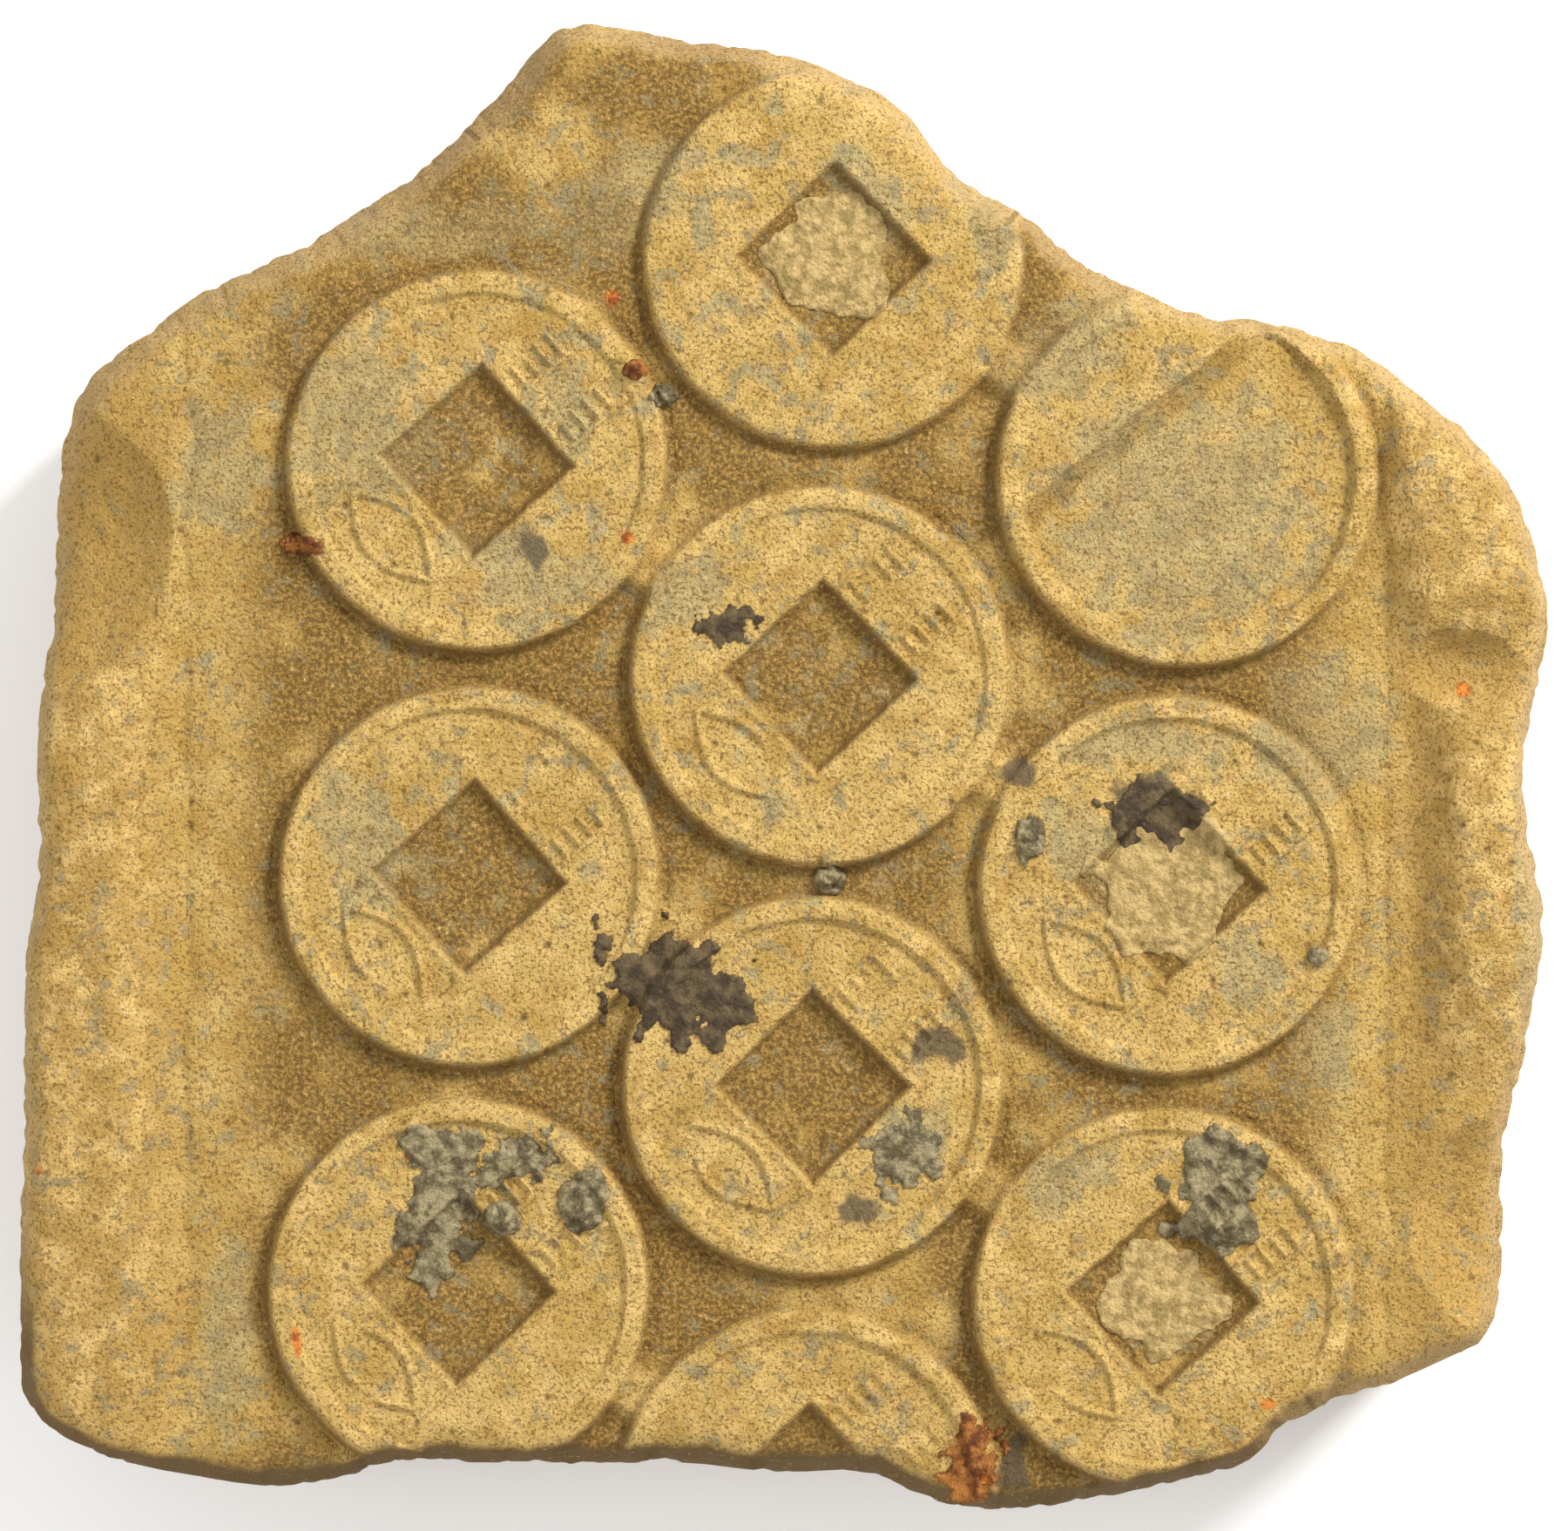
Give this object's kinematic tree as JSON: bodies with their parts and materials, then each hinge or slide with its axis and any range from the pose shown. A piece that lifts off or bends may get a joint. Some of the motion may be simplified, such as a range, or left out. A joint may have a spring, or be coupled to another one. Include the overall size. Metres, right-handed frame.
{
  "type": "clay coin mould",
  "caption": "Broken fired-clay mould slab whose flat face carries square-holed coins in relief, joined by short bridges between raised margins; slag, soot and earth cling to it.",
  "frame": {"origin": "middle of the object's bounding box, on the flat underside that it rests on", "axes": "+Z up, out of the face with the coins; +Y from the lower break to the upper break; +X to the right as the face is seen with +Y up"},
  "size_m": [0.1036, 0.101, 0.028],
  "materials": {
    "coarse_clay": "matt, coarse and broken",
    "fine_clay": "matt, fine and sandy",
    "slag": "dull, dark and pitted",
    "soot": "matt, thin brown crust",
    "rust": "matt, crumbly orange to brown",
    "earth": "matt, speckled"
  },
  "bodies": {
    "root": {"clay_backing": "coarse_clay", "clay_facing": "fine_clay", "earth_plug_lower_right": "earth", "earth_plug_mid_right": "earth", "earth_plug_top": "earth", "rust_bloom": "rust", "rust_grain_left": "rust", "rust_grain_upper_left": "rust", "slag_bead_centre": "slag", "slag_bead_lower_left": "slag", "slag_bead_mid_right": "slag", "slag_blister_lower_left": "slag", "slag_grain_upper_left": "slag", "slag_lump_lower_right": "slag", "slag_lump_mid_right": "slag", "slag_ring_lower_left": "slag", "slag_skin_lower_centre": "slag", "slag_skin_lower_left": "slag", "slag_skin_lower_right": "slag", "slag_wisp_lower_left": "slag", "soot_patch_mid_right": "soot", "soot_smear": "soot", "soot_smear_centre": "soot"}
  },
  "joints": []
}
